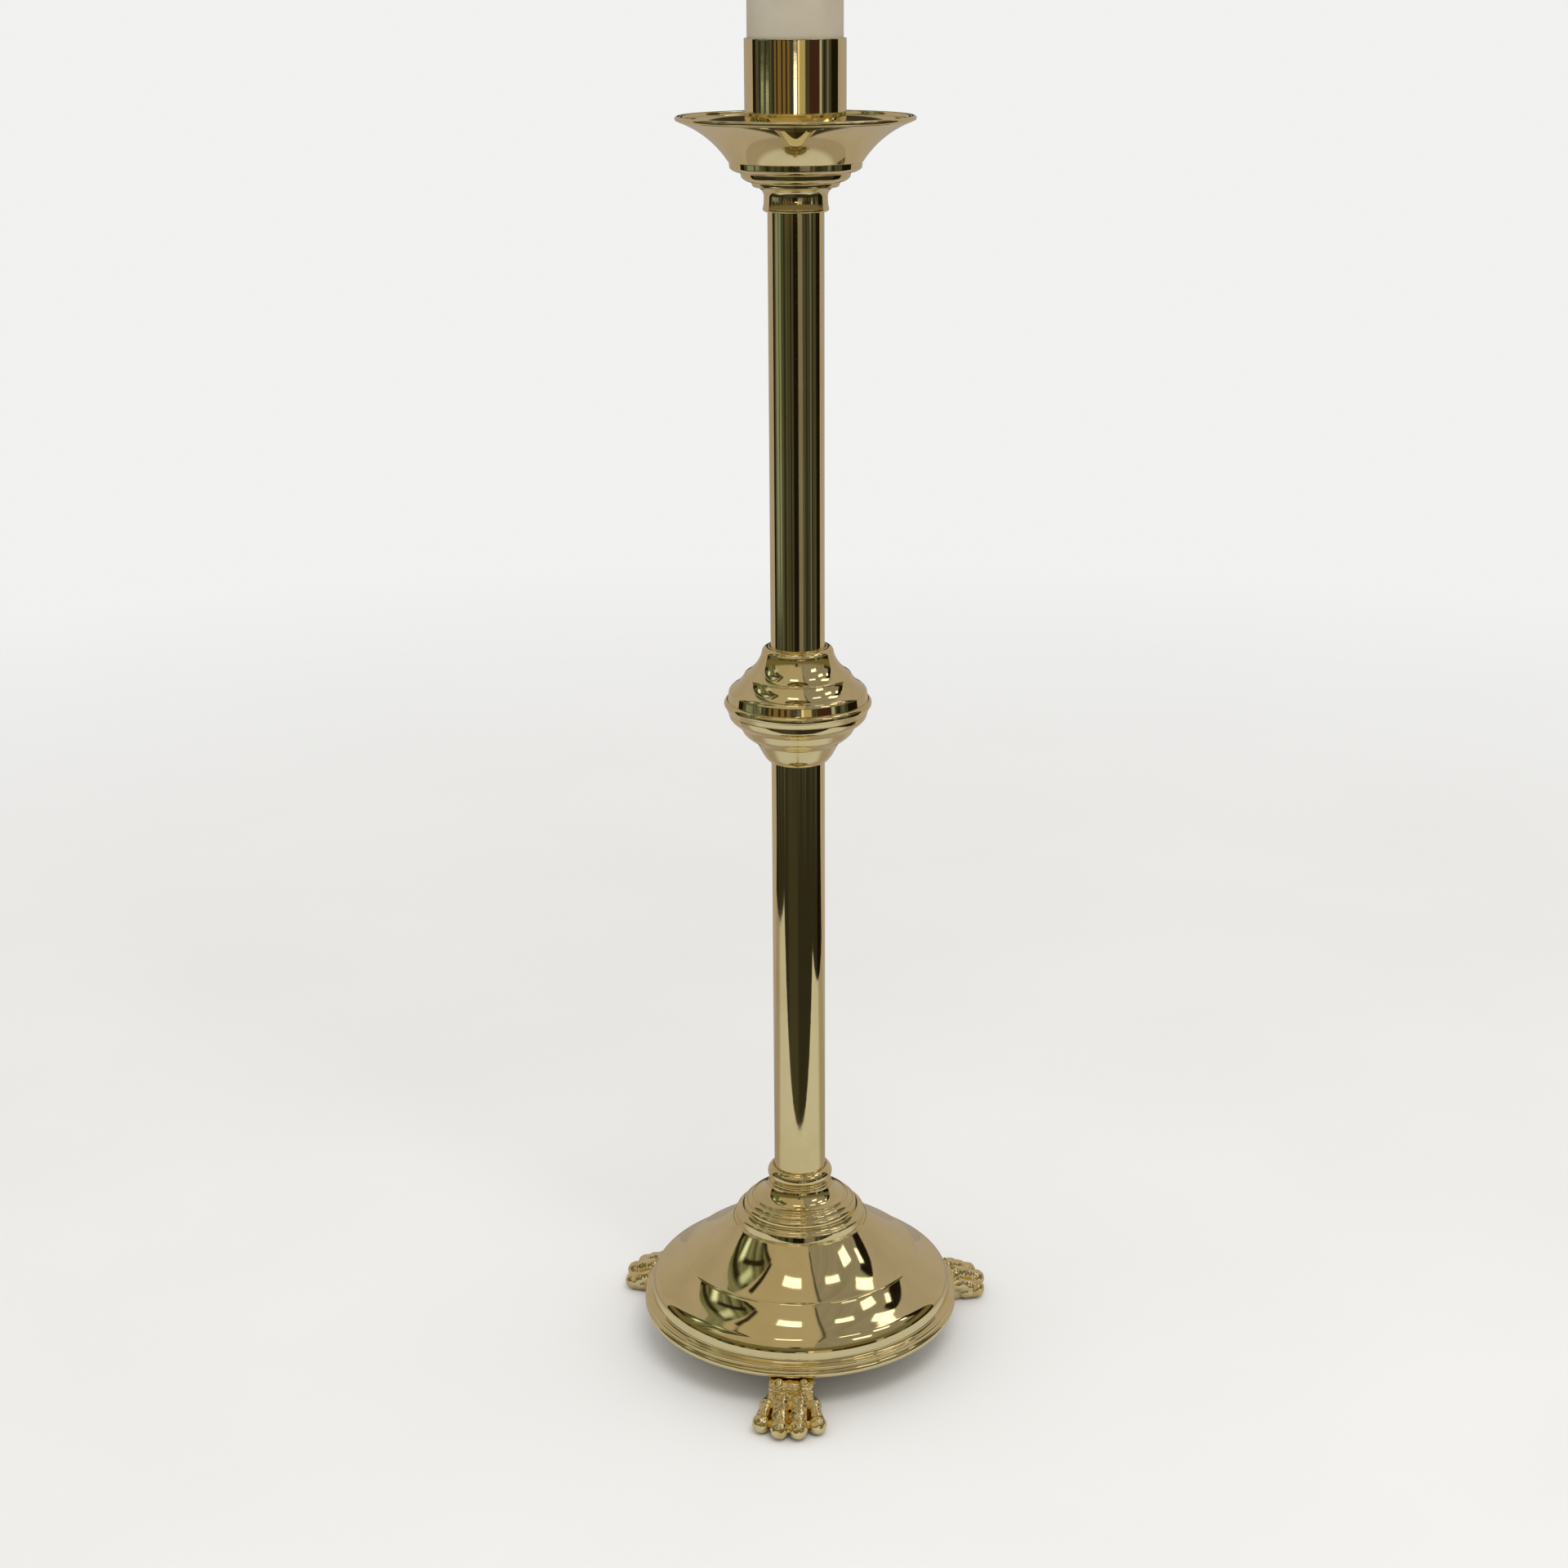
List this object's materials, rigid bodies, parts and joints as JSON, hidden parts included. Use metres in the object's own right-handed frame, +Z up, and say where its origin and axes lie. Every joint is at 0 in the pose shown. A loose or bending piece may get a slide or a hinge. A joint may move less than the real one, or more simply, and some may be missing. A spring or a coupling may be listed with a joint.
{
  "type": "altar candlestick",
  "caption": "Tall brass floor-standing altar candlestick with a pillar candle, drip pan, stem tubes joined by a knop, and a spun base on cast paw feet.",
  "frame": {"origin": "on the standing plane, on the axis of the stem", "axes": "+Z up along the stem; -Y through the front paw; the other two paws at 30 and 150 degrees from +X"},
  "size_m": [0.2862, 0.2789, 1.1327],
  "materials": {
    "brass": "polished, lacquered",
    "cast_brass": "cast, polished on the high spots",
    "steel": "zinc plated",
    "iron": "as cast",
    "wax": "smooth wax",
    "cotton": "braided"
  },
  "bodies": {
    "stick": {"candle_socket": "brass", "candle_rest": "brass", "socket_floor": "brass", "socket_washer": "steel", "socket_nut": "steel", "drip_pan": "brass", "pan_neck": "brass", "upper_tube": "brass", "upper_tube_top_plug": "brass", "upper_tube_bottom_plug": "brass", "knop_upper_shell": "brass", "knop_rim_ring": "brass", "knop_lower_shell": "brass", "lower_tube": "brass", "lower_tube_top_plug": "brass", "lower_tube_bottom_plug": "brass", "base_collar": "brass", "base_cup": "brass", "base_dome": "brass", "foot_ring": "brass", "base_weight": "iron", "base_washer": "steel", "base_nut": "steel", "tie_rod": "steel", "paw_front": "cast_brass", "paw_right": "cast_brass", "paw_left": "cast_brass", "paw_screws": "steel", "paw_washers": "steel"},
    "candle": {"candle": "wax", "wick": "cotton"}
  },
  "joints": [
    {"name": "candle_lift", "type": "slide", "parent": "stick", "child": "candle", "axis": [0, 0, 1], "range_m": [0, 0.07]}
  ]
}
